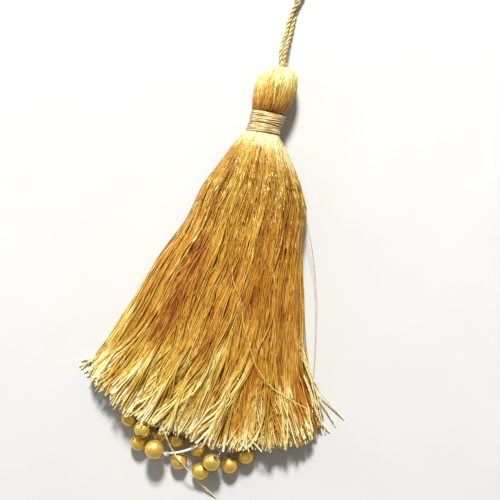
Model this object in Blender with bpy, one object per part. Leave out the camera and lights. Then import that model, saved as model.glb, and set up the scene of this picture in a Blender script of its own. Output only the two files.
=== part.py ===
"""Gold silk tassel lying on a flat surface.

A hank of silk makes the head, the neck and a spread skirt of separate locks.  A thread binding
is wound round the neck, a twisted cord makes the hanging loop, and brass beads on nylon strings
lie at the hem.  Lengths are in millimetres until a mesh is made.  The tassel's axis runs along
Y, the skirt falls towards -Y, the surface is Z = 0 and the head touches it at the origin.
"""

import math
import random
from collections import namedtuple

import bmesh
import bpy
from mathutils import Vector

MM = 0.001
GAP = 0.3  # clear space between neighbouring pieces
SEED = 12

# Body: rings from the crown to the throat.  A ring's plane is tilted about Z, because the head
# leans a little against the neck; rib is the height of the lengthwise thread ribs.  The first
# three rings are the small eye of thread that the loop comes out of.
HeadRing = namedtuple("HeadRing", "y left right low high tilt rib")
HEAD_RINGS = (
    HeadRing(5.75, -0.25, 0.85, 4.05, 5.15, 6, 0.00),
    HeadRing(5.55, -0.55, 1.15, 3.75, 5.45, 6, 0.00),
    HeadRing(5.00, -0.60, 1.20, 3.70, 5.50, 8, 0.00),
    HeadRing(4.85, -1.00, 1.60, 3.20, 5.95, 9, 0.00),
    HeadRing(4.50, -2.55, 2.80, 1.80, 7.35, 9, 0.04),
    HeadRing(3.90, -3.35, 3.50, 1.00, 8.10, 8, 0.07),
    HeadRing(2.90, -4.00, 4.05, 0.35, 8.70, 7, 0.09),
    HeadRing(1.50, -4.45, 4.40, -0.10, 9.05, 5, 0.09),
    HeadRing(-0.10, -4.62, 4.52, -0.25, 9.20, 4, 0.09),
    HeadRing(-1.70, -4.58, 4.45, -0.15, 9.10, 3, 0.09),
    HeadRing(-3.20, -4.42, 4.10, 0.20, 8.80, 2, 0.08),
    HeadRing(-4.20, -4.25, 3.70, 0.60, 8.40, 1, 0.05),
    HeadRing(-4.70, -3.95, 3.20, 1.00, 8.00, 0, 0.00),
    HeadRing(-4.85, -3.50, 2.70, 1.40, 7.60, -1, 0.00),
    HeadRing(-10.05, -3.90, 2.30, 1.40, 7.60, 4.6, 0.00),
    HeadRing(-10.25, -4.30, 2.80, 0.90, 8.10, 4.6, 0.00),
    HeadRing(-11.00, -4.95, 3.85, 0.40, 8.60, 3, 0.05),
)

# Skirt: stations along the locks, as a share of a lock's length from the throat.  lean moves
# the middle locks sideways, flat turns the section from round to a low dome, slot is the space
# left at half height for the bead strings, and fill is how much of its cell a lock fills.
Station = namedtuple("Station", "share left right low high lean flat slot fill")
STATIONS = (
    Station(0.00, -5.90, 5.20, 0.05, 9.05, 0.00, 0.00, 0.0, 1.00),
    Station(0.12, -9.20, 9.80, 0.00, 9.50, 0.00, 0.45, 1.0, 0.82),
    Station(0.36, -13.30, 13.60, 0.00, 8.90, 0.00, 0.75, 1.0, 0.80),
    Station(0.68, -20.00, 18.20, 0.00, 7.40, -0.05, 1.00, 1.0, 0.78),
    Station(1.00, -27.00, 26.20, 0.00, 5.60, -0.30, 1.00, 1.0, 0.52),
)
THROAT_Y = -12.6
LOCK_COLUMNS = 46
LOCK_LAYERS = 4
CHORD_TRIM = 0.97  # keeps the outermost cells of the round section from closing to a point
DOME_FALL = 0.38
DOME_POWER = 2.4
TOP_DRAW_IN = 0.12
SLOT_EDGES = (0.66, 0.86)  # the slot closes between these shares of the half width
LOWER_LAYER_STEP = 1.2  # the lowest locks end this far before the top ones
LENGTH_JITTER = 0.7
LOOSENESS = 0.9  # how much of the free room in its cell a lock may stray into
SPLAY_FROM = 0.88
SPLAY = {-1: 1.6, 1: 2.8}

# Hem: where the locks end, from the left side to the right.
HemPoint = namedtuple("HemPoint", "x y")
HEM = (
    HemPoint(-27.0, -68.0),
    HemPoint(-24.0, -70.4),
    HemPoint(-17.5, -73.8),
    HemPoint(-9.0, -76.3),
    HemPoint(0.0, -77.4),
    HemPoint(8.0, -76.9),
    HemPoint(16.0, -75.4),
    HemPoint(22.0, -73.0),
    HemPoint(27.0, -69.8),
)

# Neck binding: stacked turns of thread on a bent axis.
BINDING_TURNS = 11
BINDING_SIDES = 28
BINDING_TOP = -5.15
BINDING_END = -9.75
BINDING_TOP_X = -0.42
BINDING_END_X = -0.78
BINDING_TILTS = (-1.0, 4.6)
NECK_Z = 4.5
BINDING_BORE = 3.42
TURN_CREST = 3.80
TURN_GROOVE = 3.64
TURN_WANDER = 0.7

# Hanging loop: the route of one leg from the crown to the far end, and back up the other.
CORD_RADIUS = 0.47
CORD_WAIST = 0.36
CORD_SIDES = 6
CORD_STEP = 0.34
CORD_LAY = 2.4  # length of one full twist
CORD_ROUTE = (
    (-0.35, 6.10, 5.15),
    (-0.65, 7.50, 4.85),
    (-0.80, 9.20, 4.10),
    (-0.72, 11.00, 3.15),
    (-0.56, 13.00, 2.20),
    (-0.46, 15.00, 1.60),
    (-0.20, 17.00, 1.50),
    (0.25, 19.00, 1.62),
    (0.95, 21.20, 1.45),
    (1.80, 23.60, 0.95),
    (2.90, 26.60, 0.58),
    (3.90, 30.00, 0.52),
    (4.25, 33.20, 0.52),
    (3.60, 36.20, 0.52),
    (1.80, 38.30, 0.52),
    (-0.60, 38.60, 0.52),
    (-2.70, 37.10, 0.52),
    (-3.70, 34.40, 0.52),
    (-3.40, 31.20, 0.52),
    (-2.30, 27.40, 0.52),
    (-1.00, 24.00, 0.52),
    (-0.15, 21.40, 0.52),
    (0.35, 19.00, 0.52),
    (0.60, 17.00, 0.55),
    (0.62, 15.00, 0.86),
    (0.56, 13.00, 1.45),
    (0.44, 11.00, 2.30),
    (0.30, 9.20, 3.15),
    (0.24, 7.60, 3.85),
    (0.28, 6.10, 4.20),
)

# Beads: the centre, the radius, and the way that the string's end of the hole points.
Bead = namedtuple("Bead", "x y z radius azimuth elevation")
BEADS = (
    Bead(-15.50, -75.90, 1.90, 1.90, 88, 8),
    Bead(-12.20, -77.35, 4.40, 1.85, 86, -28),
    Bead(-12.45, -80.65, 1.85, 1.85, -15, -26),
    Bead(-8.80, -81.10, 4.55, 2.10, 92, 4),
    Bead(-8.50, -77.90, 1.80, 1.80, 90, 6),
    Bead(-4.58, -78.20, 1.80, 1.80, 90, 10),
    Bead(0.30, -79.00, 1.90, 1.90, 96, 8),
    Bead(-3.20, -82.70, 1.85, 1.85, 70, 4),
    Bead(1.90, -83.80, 1.90, 1.90, 55, 37),
    Bead(3.80, -81.10, 4.36, 1.90, 55, 37),
    Bead(7.70, -81.20, 1.85, 1.85, 92, 6),
    Bead(10.65, -78.35, 1.90, 1.90, 92, 8),
)
BEAD_HOLE = 0.62
BEAD_SIDES = 12
BEAD_BANDS = 6

# Bead strings: where each leaves the hem, the free points on its way, and the beads that it
# goes through, counted from one.  One string ends loose in a knot.
BeadString = namedtuple("BeadString", "hem_x free beads")
BEAD_STRINGS = (
    BeadString(-15.40, (), (1,)),
    BeadString(-12.60, (), (2,)),
    BeadString(-11.00, ((-10.70, -77.8, 0.95), (-10.50, -79.8, 0.62)), (3,)),
    BeadString(-9.60, ((-9.25, -77.0, 3.90), (-9.05, -78.2, 4.35)), (4,)),
    BeadString(-8.30, (), (5,)),
    BeadString(-4.60, (), (6,)),
    BeadString(-2.25, ((-2.22, -78.6, 2.00), (-2.25, -80.0, 1.90)), (8,)),
    BeadString(-0.20, (), (7,)),
    BeadString(
        1.20,
        ((0.85, -77.3, 3.80), (-0.20, -78.5, 4.25), (-1.80, -79.7, 4.00), (-3.20, -80.5, 3.45),
         (-4.50, -81.1, 2.75), (-5.60, -81.5, 1.95), (-6.10, -81.8, 1.60)),
        (),
    ),
    BeadString(5.00, ((5.30, -77.2, 4.20),), (10, 9)),
    BeadString(7.20, ((7.50, -77.6, 2.20),), (11,)),
    BeadString(10.60, (), (12,)),
)
STRING_HALF = 0.2
STRING_ROOM = 0.45  # from a string's middle to a lock
YOKE_SHARE = 0.15
YOKE_LENGTH = 1.4
YOKE_PITCH = 0.55
FAN_SHARES = ((0.36, 0.55), (0.68, 0.86), (0.96, 1.0))  # along the skirt, and out of the yoke
KNOT_HALF = 0.62

MATERIALS = {
    "silk": ((0.66, 0.42, 0.11), 0.38, 0.0),
    "binding_thread": ((0.74, 0.58, 0.30), 0.42, 0.0),
    "cord_silk": ((0.70, 0.50, 0.20), 0.45, 0.0),
    "brass": ((0.80, 0.62, 0.26), 0.30, 1.0),
    "nylon": ((0.92, 0.92, 0.90), 0.25, 0.0),
}


def clear_scene():
    for item in list(bpy.data.objects):
        bpy.data.objects.remove(item, do_unlink=True)


def make_material(name):
    colour, roughness, metallic = MATERIALS[name]
    material = bpy.data.materials.new(name)
    material.use_nodes = True
    shader = material.node_tree.nodes["Principled BSDF"]
    shader.inputs["Base Color"].default_value = (*colour, 1.0)
    shader.inputs["Roughness"].default_value = roughness
    shader.inputs["Metallic"].default_value = metallic
    return material


def mesh_object(name, points, faces, material, sharp_degrees=40):
    """One closed mesh from points in millimetres, its faces turned outwards."""
    mesh = bpy.data.meshes.new(name)
    shape = bmesh.new()
    corners = [shape.verts.new(Vector(point) * MM) for point in points]
    for face in faces:
        shape.faces.new([corners[index] for index in face])
    bmesh.ops.recalc_face_normals(shape, faces=shape.faces)
    shape.to_mesh(mesh)
    shape.free()
    mesh.materials.append(material)
    mesh.shade_smooth()
    mesh.set_sharp_from_angle(angle=math.radians(sharp_degrees))
    item = bpy.data.objects.new(name, mesh)
    bpy.context.scene.collection.objects.link(item)
    return item


def row_at(rows, value):
    """A table's row at a value of its first column, worked out between its neighbours."""
    low, high = rows[0], rows[1]
    for first, second in zip(rows, rows[1:]):
        if first[0] <= value:
            low, high = first, second
    share = (value - low[0]) / (high[0] - low[0])
    return type(low)(*(a + (b - a) * share for a, b in zip(low, high)))


def smooth_step(low, high, value):
    share = min(max((value - low) / (high - low), 0.0), 1.0)
    return share * share * (3 - 2 * share)


# Skirt field: across is -1 at the left lock and 1 at the right, up is 0 below and 1 on top.


def drawn_in(station, across, up):
    """The skirt narrows a little towards its top."""
    return across * (1 - TOP_DRAW_IN * station.flat * up * up)


def skirt_x(station, across):
    share = (across + 1) / 2
    share += station.lean * share * (1 - share)
    return station.left + (station.right - station.left) * share


def skirt_ends(station, across):
    """The lowest and highest point of the skirt's section at a place across it."""
    height = station.high - station.low
    chord = math.sqrt(1 - (CHORD_TRIM * across) ** 2)
    round_low = station.low + height * (0.5 - 0.5 * chord)
    round_high = station.low + height * (0.5 + 0.5 * chord)
    dome_high = station.low + height * (1 - DOME_FALL * abs(across) ** DOME_POWER)
    flat = station.flat
    return round_low + (station.low - round_low) * flat, round_high + (dome_high - round_high) * flat


def slot_height(station, across):
    return station.slot * (1 - smooth_step(*SLOT_EDGES, abs(across)))


def skirt_z(station, across, up, upper_half):
    low, high = skirt_ends(station, across)
    slot = slot_height(station, across)
    return low + (high - low - slot) * up + (slot if upper_half else 0.0)


def hem_y(x):
    return row_at(HEM, min(max(x, HEM[0].x), HEM[-1].x)).y


def strand_y(share, across):
    tip = hem_y(skirt_x(STATIONS[-1], across))
    return THROAT_Y + (tip - THROAT_Y) * share


def across_at_hem(x):
    """Across for a place on the hem: the inverse of skirt_x on the last station."""
    last = STATIONS[-1]
    share = (x - last.left) / (last.right - last.left)
    half = (1 + last.lean) / 2
    root = math.sqrt(half * half - last.lean * share)
    return 2 * (share / (half + root)) - 1


def slot_point(share, across):
    """The middle of the slot that the bead strings run in."""
    station = row_at(STATIONS, share)
    z = skirt_z(station, across, 0.5, False) + slot_height(station, across) / 2
    return Vector((skirt_x(station, across), strand_y(share, across), z))


# Beads and their strings.


def direction(azimuth, elevation):
    turn, rise = math.radians(azimuth), math.radians(elevation)
    return Vector((math.cos(rise) * math.cos(turn), math.cos(rise) * math.sin(turn), math.sin(rise)))


def bead_centre(bead):
    return Vector((bead.x, bead.y, bead.z))


def make_bead(name, bead, material):
    """A round bead with a straight hole: an arc from rim to rim, turned, and closed by the bore."""
    axis = direction(bead.azimuth, bead.elevation)
    side = axis.cross(Vector((0, 0, 1))).normalized()
    other = axis.cross(side)
    rim = math.asin(BEAD_HOLE / bead.radius)
    points = []
    for band in range(BEAD_BANDS + 1):
        angle = rim + (math.pi - 2 * rim) * band / BEAD_BANDS
        along, out = bead.radius * math.cos(angle), bead.radius * math.sin(angle)
        for step in range(BEAD_SIDES):
            turn = 2 * math.pi * step / BEAD_SIDES
            offset = side * math.cos(turn) + other * math.sin(turn)
            points.append(bead_centre(bead) + axis * along + offset * out)
    rings = BEAD_BANDS + 1
    faces = []
    for ring in range(rings):
        below = (ring + 1) % rings
        for step in range(BEAD_SIDES):
            after = (step + 1) % BEAD_SIDES
            faces.append((
                ring * BEAD_SIDES + step,
                ring * BEAD_SIDES + after,
                below * BEAD_SIDES + after,
                below * BEAD_SIDES + step,
            ))
    return mesh_object(name, points, faces, material, 60)


def string_route(line):
    """Points from the yoke through the slot, past the free points and into the beads."""
    across = across_at_hem(line.hem_x)
    route = [slot_point(share, across * out) for share, out in FAN_SHARES]
    route += [Vector(point) for point in line.free]
    for number in line.beads:
        bead = BEADS[number - 1]
        route.append(bead_centre(bead) + direction(bead.azimuth, bead.elevation) * (bead.radius + GAP))
    if line.beads:
        bead = BEADS[line.beads[-1] - 1]
        route.append(bead_centre(bead) - direction(bead.azimuth, bead.elevation) * bead.radius * 0.45)
    return route


def string_section(centre, along, half):
    side = Vector((along.y, -along.x, 0)).normalized()
    above = side.cross(along).normalized()
    if above.z < 0:
        above = -above
    return [centre + side * (a * half) + above * (b * half) for a, b in ((1, -1), (-1, -1), (-1, 1), (1, 1))]


def string_rings(route, end_half):
    """Square sections along a route; a loose end is a small knot."""
    rings = []
    for index, centre in enumerate(route):
        before = route[max(index - 1, 0)]
        after = route[min(index + 1, len(route) - 1)]
        rings.append(string_section(centre, (after - before).normalized(), STRING_HALF))
    if end_half:
        along = (route[-1] - route[-2]).normalized()
        for step, share in ((0.35, 1.0), (1.0, 1.0), (1.35, 0.5)):
            rings.append(string_section(route[-1] + along * step, along, end_half * share))
    return rings


def make_bead_strings(material):
    """A flat yoke of joined strings inside the skirt, from which each string runs by itself."""
    count = len(BEAD_STRINGS)
    station = row_at(STATIONS, YOKE_SHARE)
    middle = slot_point(YOKE_SHARE, 0.0)
    points, faces = [], []

    def edge_row(y, z):
        first = len(points)
        width = YOKE_PITCH * count
        for index in range(count + 1):
            points.append((middle.x - width / 2 + YOKE_PITCH * index, y, z))
        return list(range(first, first + count + 1))

    back, front = middle.y, middle.y - YOKE_LENGTH
    rise = (slot_point(YOKE_SHARE + 0.02, 0.0).z - middle.z) * station.flat
    low_back, high_back = edge_row(back, middle.z - STRING_HALF), edge_row(back, middle.z + STRING_HALF)
    low_front = edge_row(front, middle.z + rise - STRING_HALF)
    high_front = edge_row(front, middle.z + rise + STRING_HALF)
    for index in range(count):
        after = index + 1
        faces.append((low_back[index], low_back[after], high_back[after], high_back[index]))
        faces.append((low_back[index], low_front[index], low_front[after], low_back[after]))
        faces.append((high_back[index], high_back[after], high_front[after], high_front[index]))
        ring = [low_front[index], low_front[after], high_front[after], high_front[index]]
        line = BEAD_STRINGS[index]
        for section in string_rings(string_route(line), 0 if line.beads else KNOT_HALF):
            section = [section[1], section[0], section[3], section[2]]
            placed = list(range(len(points), len(points) + 4))
            points.extend(section)
            for corner in range(4):
                follow = (corner + 1) % 4
                faces.append((ring[corner], ring[follow], placed[follow], placed[corner]))
            ring = placed
        faces.append(tuple(ring))
    for end in (0, count):
        faces.append((low_back[end], high_back[end], high_front[end], low_front[end]))
    return mesh_object("bead_strings", points, faces, material)


# Locks of the skirt.


def segment_distance(point, start, end):
    along = end - start
    share = min(max((point - start).dot(along) / along.length_squared, 0.0), 1.0)
    return (point - start - along * share).length


def is_clear(point, string_segments):
    """Whether a point of a lock leaves room for the beads and the strings."""
    to_bead = min((point - bead_centre(bead)).length - bead.radius for bead in BEADS)
    to_string = min(segment_distance(point, *ends) for ends in string_segments)
    return to_bead > GAP and to_string > STRING_ROOM


CORNERS = ((0, 0), (1, 0), (1, 1), (0, 1))  # of a lock's section, counted across and up
TIP_SHARES = (0.7, 0.8, 0.9, 0.95, 1.0)
TRIM_STEP = 0.2
MOST_TRIMS = 20

Lock = namedtuple("Lock", "column layer shift lift trim splay")


def lock_splay(column, layer):
    """The outermost locks bend away from the rest, the lower ones most."""
    middle = -1 + 2 * (column + 0.5) / LOCK_COLUMNS
    side = 1 if middle > 0 else -1
    edge = max(0.0, (abs(middle) - SPLAY_FROM) / (1 - SPLAY_FROM))
    return side * SPLAY[side] * edge * edge * (1 - 0.5 * layer / LOCK_LAYERS)


def lock_section(station, lock):
    """The four corners of one lock at a station, inside its own cell of the skirt."""
    free = 1 - station.fill
    middle = -1 + 2 * (lock.column + 0.5) / LOCK_COLUMNS
    y = strand_y(station.share, middle)
    corners = []
    for column_share, layer_share in CORNERS:
        column = lock.column + free * (0.5 + lock.shift) + station.fill * column_share
        layer = lock.layer + free * lock.lift + station.fill * layer_share
        across = drawn_in(station, -1 + 2 * column / LOCK_COLUMNS, (lock.layer + 0.5) / LOCK_LAYERS)
        x = skirt_x(station, across) + lock.splay * station.share ** 3
        z = skirt_z(station, across, layer / LOCK_LAYERS, lock.layer >= LOCK_LAYERS // 2)
        corners.append(Vector((x, y, z)))
    return corners


def lock_sections(lock, string_segments):
    """A lock's sections after the throat, cut at the hem, or shorter at a bead or a string."""
    sections = [lock_section(station, lock) for station in STATIONS[1:]]
    near, full = sections[-2:]
    trim = lock.trim
    for _ in range(MOST_TRIMS):
        reach = 1 - trim / (full[0] - near[0]).length
        tip = [a.lerp(b, reach) for a, b in zip(near, full)]
        edges = [a.lerp(b, share) for a, b in zip(near, tip) for share in TIP_SHARES]
        edges += [a.lerp(b, 0.5) for a, b in zip(tip, tip[1:] + tip[:1])]
        if all(is_clear(point, string_segments) for point in edges):
            break
        trim += TRIM_STEP
    return [*sections[:-1], tip]


def throat_grid():
    """Corner points of the throat's end face, one cell for each lock."""
    station = STATIONS[0]
    grid = []
    for column in range(LOCK_COLUMNS + 1):
        across = -1 + 2 * column / LOCK_COLUMNS
        grid.append([
            Vector((
                skirt_x(station, across),
                THROAT_Y,
                skirt_z(station, across, layer / LOCK_LAYERS, False),
            ))
            for layer in range(LOCK_LAYERS + 1)
        ])
    return grid


def grid_boundary():
    """The end face's outline as (column, layer) pairs, once round from the lower left corner."""
    outline = [(column, 0) for column in range(LOCK_COLUMNS)]
    outline += [(LOCK_COLUMNS, layer) for layer in range(LOCK_LAYERS)]
    outline += [(column, LOCK_LAYERS) for column in range(LOCK_COLUMNS, 0, -1)]
    outline += [(0, layer) for layer in range(LOCK_LAYERS, 0, -1)]
    return outline


def make_body(material):
    """Head, neck and throat lofted through rings, and a lock on every cell of the throat's end."""
    rng = random.Random(SEED)
    grid = throat_grid()
    outline = grid_boundary()
    centre = (grid[0][0] + grid[-1][-1]) / 2
    half_width = (STATIONS[0].right - STATIONS[0].left) / 2
    half_height = (STATIONS[0].high - STATIONS[0].low) / 2
    angles = []
    for column, layer in outline[::2]:
        point = grid[column][layer] - centre
        angles.append(math.atan2(point.z / half_height, point.x / half_width))
    points, faces = [], []
    rings = []
    for ring in HEAD_RINGS:
        middle_x, half_x = (ring.left + ring.right) / 2, (ring.right - ring.left) / 2
        middle_z, half_z = (ring.low + ring.high) / 2, (ring.high - ring.low) / 2
        placed = []
        for number, angle in enumerate(angles):
            raised = ring.rib * (1 if number % 2 else -1) * min(1.0, 1 + math.sin(angle))
            x = (half_x + raised) * math.cos(angle)
            z = middle_z + (half_z + raised) * math.sin(angle)
            placed.append(len(points))
            points.append((middle_x + x, ring.y + x * math.tan(math.radians(ring.tilt)), max(z, 0.0)))
        rings.append(placed)
    count = len(angles)
    for upper, lower in zip(rings, rings[1:]):
        for index in range(count):
            after = (index + 1) % count
            faces.append((upper[index], upper[after], lower[after], lower[index]))
    faces.append(tuple(rings[0]))

    numbers = {}
    for column in range(LOCK_COLUMNS + 1):
        for layer in range(LOCK_LAYERS + 1):
            numbers[column, layer] = len(points)
            points.append(grid[column][layer])
    for index in range(count):
        after = (index + 1) % count
        first, between, second = (
            numbers[outline[(2 * index + step) % len(outline)]] for step in range(3)
        )
        faces.append((rings[-1][index], first, between))
        faces.append((rings[-1][index], between, rings[-1][after]))
        faces.append((rings[-1][after], between, second))

    string_segments = [
        ends for line in BEAD_STRINGS for ends in zip(string_route(line)[2:], string_route(line)[3:])
    ]
    for column in range(LOCK_COLUMNS):
        for layer in range(LOCK_LAYERS):
            shift = rng.uniform(-0.5, 0.5) * LOOSENESS
            lift = rng.uniform(0.0, LOOSENESS) if layer else 0.0
            trim = rng.uniform(-LENGTH_JITTER, LENGTH_JITTER)
            trim += LOWER_LAYER_STEP * (1 - (layer + 0.5) / LOCK_LAYERS)
            lock = Lock(column, layer, shift, lift, trim, lock_splay(column, layer))
            ring = [numbers[column + across, layer + up] for across, up in CORNERS]
            for section in lock_sections(lock, string_segments):
                placed = list(range(len(points), len(points) + 4))
                points.extend(section)
                for corner in range(4):
                    follow = (corner + 1) % 4
                    faces.append((ring[corner], ring[follow], placed[follow], placed[corner]))
                ring = placed
            faces.append(tuple(ring))
    return mesh_object("tassel_body", points, faces, material)


# Neck binding and hanging loop.


def make_binding(material):
    """A sleeve whose outer face is raised in stacked turns, on the neck's bent axis."""
    rng = random.Random(SEED)
    rows = []
    for half_turn in range(2 * BINDING_TURNS + 1):
        share = half_turn / (2 * BINDING_TURNS)
        rows.append((share, TURN_CREST if half_turn % 2 else TURN_GROOVE))
    rows.append((1.0, BINDING_BORE))
    rows.append((0.0, BINDING_BORE))
    wander = [rng.uniform(-TURN_WANDER, TURN_WANDER) for _ in rows]
    wander[0] = wander[2 * BINDING_TURNS] = wander[-1] = wander[-2] = 0.0
    points, faces = [], []
    for number, (share, radius) in enumerate(rows):
        y = BINDING_TOP + (BINDING_END - BINDING_TOP) * share
        x = BINDING_TOP_X + (BINDING_END_X - BINDING_TOP_X) * share
        tilt = BINDING_TILTS[0] + (BINDING_TILTS[1] - BINDING_TILTS[0]) * share + wander[number]
        slope = math.tan(math.radians(tilt))
        for step in range(BINDING_SIDES):
            turn = 2 * math.pi * step / BINDING_SIDES
            out = radius * math.cos(turn)
            points.append((x + out, y + out * slope, NECK_Z + radius * math.sin(turn)))
    for row in range(len(rows)):
        below = (row + 1) % len(rows)
        for step in range(BINDING_SIDES):
            after = (step + 1) % BINDING_SIDES
            faces.append((
                row * BINDING_SIDES + step,
                row * BINDING_SIDES + after,
                below * BINDING_SIDES + after,
                below * BINDING_SIDES + step,
            ))
    return mesh_object("neck_binding", points, faces, material, 30)


def smooth_route(points, step):
    """Evenly spaced points on a smooth curve through the given ones."""
    ways = [Vector(point) for point in points]
    ways = [2 * ways[0] - ways[1], *ways, 2 * ways[-1] - ways[-2]]
    fine = []
    for a, b, c, d in zip(ways, ways[1:], ways[2:], ways[3:]):
        for part in range(20):
            t = part / 20
            fine.append(0.5 * (
                2 * b + (c - a) * t + (2 * a - 5 * b + 4 * c - d) * t * t
                + (3 * b - a - 3 * c + d) * t ** 3
            ))
    fine.append(ways[-2])
    reach = [0.0]
    for first, second in zip(fine, fine[1:]):
        reach.append(reach[-1] + (second - first).length)
    count = round(reach[-1] / step)
    even, index = [], 0
    for number in range(count + 1):
        target = reach[-1] * number / count
        while index < len(fine) - 2 and reach[index + 1] < target:
            index += 1
        share = (target - reach[index]) / (reach[index + 1] - reach[index])
        even.append(fine[index].lerp(fine[index + 1], share))
    return even, reach[-1]


def make_loop(material):
    """A two-ply cord: an oval section that turns once in each lay along the route."""
    route, length = smooth_route(CORD_ROUTE, CORD_STEP)
    side = Vector((1, 0, 0))
    points, faces = [], []
    for index, centre in enumerate(route):
        along = (route[min(index + 1, len(route) - 1)] - route[max(index - 1, 0)]).normalized()
        side = (side - along * side.dot(along)).normalized()
        other = along.cross(side)
        twist = 2 * math.pi * length * index / (len(route) - 1) / CORD_LAY
        for corner in range(CORD_SIDES):
            angle = 2 * math.pi * corner / CORD_SIDES
            swell = (1 + math.cos(2 * angle)) / 2
            radius = CORD_WAIST + (CORD_RADIUS - CORD_WAIST) * swell
            turn = angle + twist
            points.append(centre + (side * math.cos(turn) + other * math.sin(turn)) * radius)
    for ring in range(len(route) - 1):
        for corner in range(CORD_SIDES):
            follow = (corner + 1) % CORD_SIDES
            faces.append((
                ring * CORD_SIDES + corner,
                ring * CORD_SIDES + follow,
                (ring + 1) * CORD_SIDES + follow,
                (ring + 1) * CORD_SIDES + corner,
            ))
    faces.append(tuple(range(CORD_SIDES)))
    faces.append(tuple(range(len(points) - CORD_SIDES, len(points))))
    return mesh_object("hanging_loop", points, faces, material, 60)


clear_scene()
finishes = {name: make_material(name) for name in MATERIALS}
make_body(finishes["silk"])
make_binding(finishes["binding_thread"])
make_loop(finishes["cord_silk"])
for bead_number, one_bead in enumerate(BEADS, 1):
    make_bead(f"bead_{bead_number:02d}", one_bead, finishes["brass"])
make_bead_strings(finishes["nylon"])
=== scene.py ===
"""Looks of the gold silk tassel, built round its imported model.  Sizes are in millimetres and
become metres where a mesh is made, apart from the cord's route, which is in metres throughout."""

import math
from functools import partial

import bmesh
import bpy
import numpy as np
from mathutils import Matrix, Vector


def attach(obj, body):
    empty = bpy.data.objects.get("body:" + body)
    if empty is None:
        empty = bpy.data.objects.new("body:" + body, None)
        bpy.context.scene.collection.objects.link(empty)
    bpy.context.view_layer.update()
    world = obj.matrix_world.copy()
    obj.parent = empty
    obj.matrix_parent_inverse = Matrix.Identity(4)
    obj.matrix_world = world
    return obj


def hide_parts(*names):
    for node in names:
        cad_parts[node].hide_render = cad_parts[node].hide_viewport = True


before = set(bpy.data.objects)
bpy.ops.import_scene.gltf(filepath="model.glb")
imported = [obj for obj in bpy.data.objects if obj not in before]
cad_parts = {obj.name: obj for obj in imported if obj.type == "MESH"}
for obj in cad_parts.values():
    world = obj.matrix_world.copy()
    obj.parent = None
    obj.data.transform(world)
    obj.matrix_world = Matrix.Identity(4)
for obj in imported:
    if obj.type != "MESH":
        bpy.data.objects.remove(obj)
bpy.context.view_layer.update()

# -------------------------------- camera
# It looks straight down on the tassel, turned so that the skirt runs to the lower left.

MM = 0.001
VIEW_CENTRE = (1.99, -34.80)
VIEW_TURN = 12.5  # degrees
VIEW_WIDTH = 107.5
VIEW_HEIGHT = 350.0
VIEW_LEVEL = 4.0
SENSOR_WIDTH = 36.0

camera_data = bpy.data.cameras.new("camera")
camera_data.sensor_width = SENSOR_WIDTH
camera_data.lens = SENSOR_WIDTH * VIEW_HEIGHT / VIEW_WIDTH
camera_data.clip_start = 0.01
camera = bpy.data.objects.new("camera", camera_data)
camera.location = Vector((*VIEW_CENTRE, VIEW_LEVEL + VIEW_HEIGHT)) * MM
camera.rotation_euler = (0, 0, math.radians(VIEW_TURN))
bpy.context.scene.collection.objects.link(camera)
bpy.context.scene.camera = camera
bpy.context.scene.view_settings.view_transform = "Standard"

# -------------------------------- hanging loop
# A two-ply cord of gold silk, folded double.  Both legs go into the crown, and the loop lies
# along the surface past it.

LOOP_ROUTE = (
    (-0.00010, 0.00470, 0.00490),
    (-0.00035, 0.00610, 0.00515),
    (-0.00065, 0.00750, 0.00485),
    (-0.00080, 0.00920, 0.00410),
    (-0.00072, 0.01100, 0.00315),
    (-0.00056, 0.01300, 0.00220),
    (-0.00046, 0.01500, 0.00160),
    (-0.00020, 0.01700, 0.00150),
    (0.00025, 0.01900, 0.00162),
    (0.00095, 0.02120, 0.00145),
    (0.00180, 0.02360, 0.00095),
    (0.00290, 0.02660, 0.00058),
    (0.00390, 0.03000, 0.00052),
    (0.00425, 0.03320, 0.00052),
    (0.00360, 0.03620, 0.00052),
    (0.00180, 0.03830, 0.00052),
    (-0.00060, 0.03860, 0.00052),
    (-0.00270, 0.03710, 0.00052),
    (-0.00370, 0.03440, 0.00052),
    (-0.00340, 0.03120, 0.00052),
    (-0.00230, 0.02740, 0.00052),
    (-0.00100, 0.02400, 0.00052),
    (-0.00015, 0.02140, 0.00052),
    (0.00035, 0.01900, 0.00052),
    (0.00052, 0.01700, 0.00055),
    (0.00048, 0.01500, 0.00086),
    (0.00040, 0.01300, 0.00145),
    (0.00027, 0.01100, 0.00230),
    (0.00015, 0.00920, 0.00315),
    (0.00014, 0.00760, 0.00385),
    (0.00028, 0.00610, 0.00420),
    (0.00040, 0.00470, 0.00440),
)
PLY_OFFSET = 0.225
PLY_RADIUS = 0.235
LOOP_LAY = 2.4  # the cord's length for one turn of its two plies
LOOP_STEP = 0.2
PLY_SIDES = 8


def smooth_rows(rows, steps=16):
    """A table's rows on a smooth curve through the given ones, that many to each gap."""
    ways = np.array(rows, float)
    ways = np.vstack([2 * ways[0] - ways[1], ways, 2 * ways[-1] - ways[-2]])
    t = np.linspace(0, 1, steps, endpoint=False)[:, None]
    fine = [
        0.5 * (2 * b + (c - a) * t + (2 * a - 5 * b + 4 * c - d) * t**2 + (3 * b - a - 3 * c + d) * t**3)
        for a, b, c, d in zip(ways, ways[1:], ways[2:], ways[3:])
    ]
    return np.vstack([*fine, ways[-2]])


def even_points(route, count):
    """That many evenly spaced points on a route."""
    reach = np.concatenate([[0], np.cumsum(np.linalg.norm(np.diff(route, axis=0), axis=1))])
    at = np.linspace(0, reach[-1], count)
    return np.column_stack([np.interp(at, reach, route[:, axis]) for axis in range(3)])


def unit(vectors):
    """The same directions, each with a length of one."""
    return vectors / np.linalg.norm(vectors, axis=-1, keepdims=True)


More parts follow.
